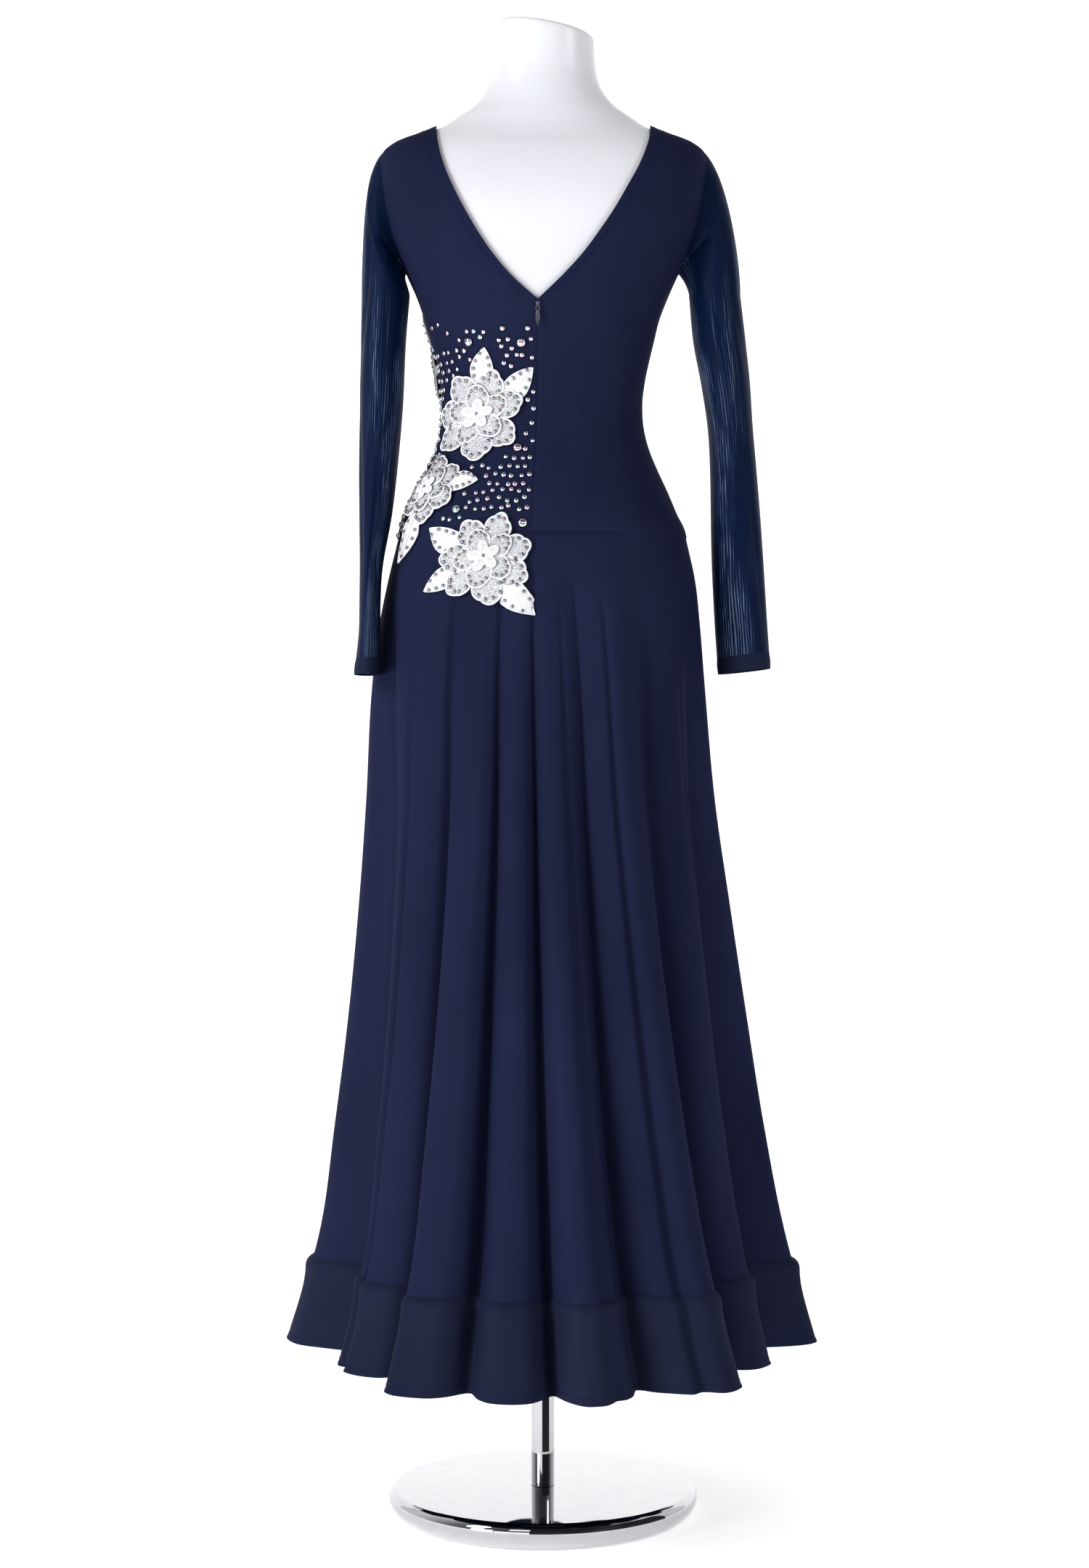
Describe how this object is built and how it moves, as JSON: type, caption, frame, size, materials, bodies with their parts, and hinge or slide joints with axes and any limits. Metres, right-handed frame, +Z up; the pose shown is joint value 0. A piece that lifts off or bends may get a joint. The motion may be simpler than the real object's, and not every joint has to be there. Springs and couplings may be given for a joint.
{
  "type": "trapeze dress on limbless dress form",
  "caption": "Long-sleeved floor-length dress with a deep V back and a flared, folded skirt, on a limbless dress form with a pole and round base.",
  "frame": {"origin": "centre of the round base's underside, on the floor under the pole", "axes": "+Z up along the pole; -Y is the side with the V back and the zip, +Y the plain front, +X the wearer's right"},
  "size_m": [0.6122, 0.6567, 1.7265],
  "materials": {
    "jersey": "dull navy stretch jersey",
    "mesh": "sheer navy stretch mesh",
    "lace": "white and silver embroidered lace",
    "crystal": "cut glass stone with a rainbow coat",
    "form": "glossy milky white",
    "chrome": "polished chrome plate",
    "zip_metal": "dark gunmetal"
  },
  "bodies": {
    "dress_and_form": {"bodice_back_left": "jersey", "bodice_back_right": "jersey", "bodice_front": "jersey", "cuff_left": "jersey", "cuff_right": "jersey", "flower_front": "lace", "flower_lower": "lace", "flower_side": "lace", "flower_upper": "lace", "form_torso": "form", "hem_band_back_left": "jersey", "hem_band_back_right": "jersey", "hem_band_front_left": "jersey", "hem_band_front_right": "jersey", "skirt_back_left": "jersey", "skirt_back_right": "jersey", "skirt_front_left": "jersey", "skirt_front_right": "jersey", "sleeve_left": "mesh", "sleeve_right": "mesh", "stand_base": "chrome", "stand_pole": "chrome", "stone_1": "crystal", "stone_2": "crystal", "stone_3": "crystal", "stone_4": "crystal", "stone_5": "crystal", "zip_slider": "zip_metal"},
    "pull": {"zip_pull": "zip_metal"}
  },
  "joints": [
    {"name": "zip_pull_swing", "type": "hinge", "parent": "dress_and_form", "child": "pull", "pos_m": [-0.00554, -0.10154, 1.3815], "axis": [-1, 0, 0], "range_deg": [0, 150]}
  ]
}
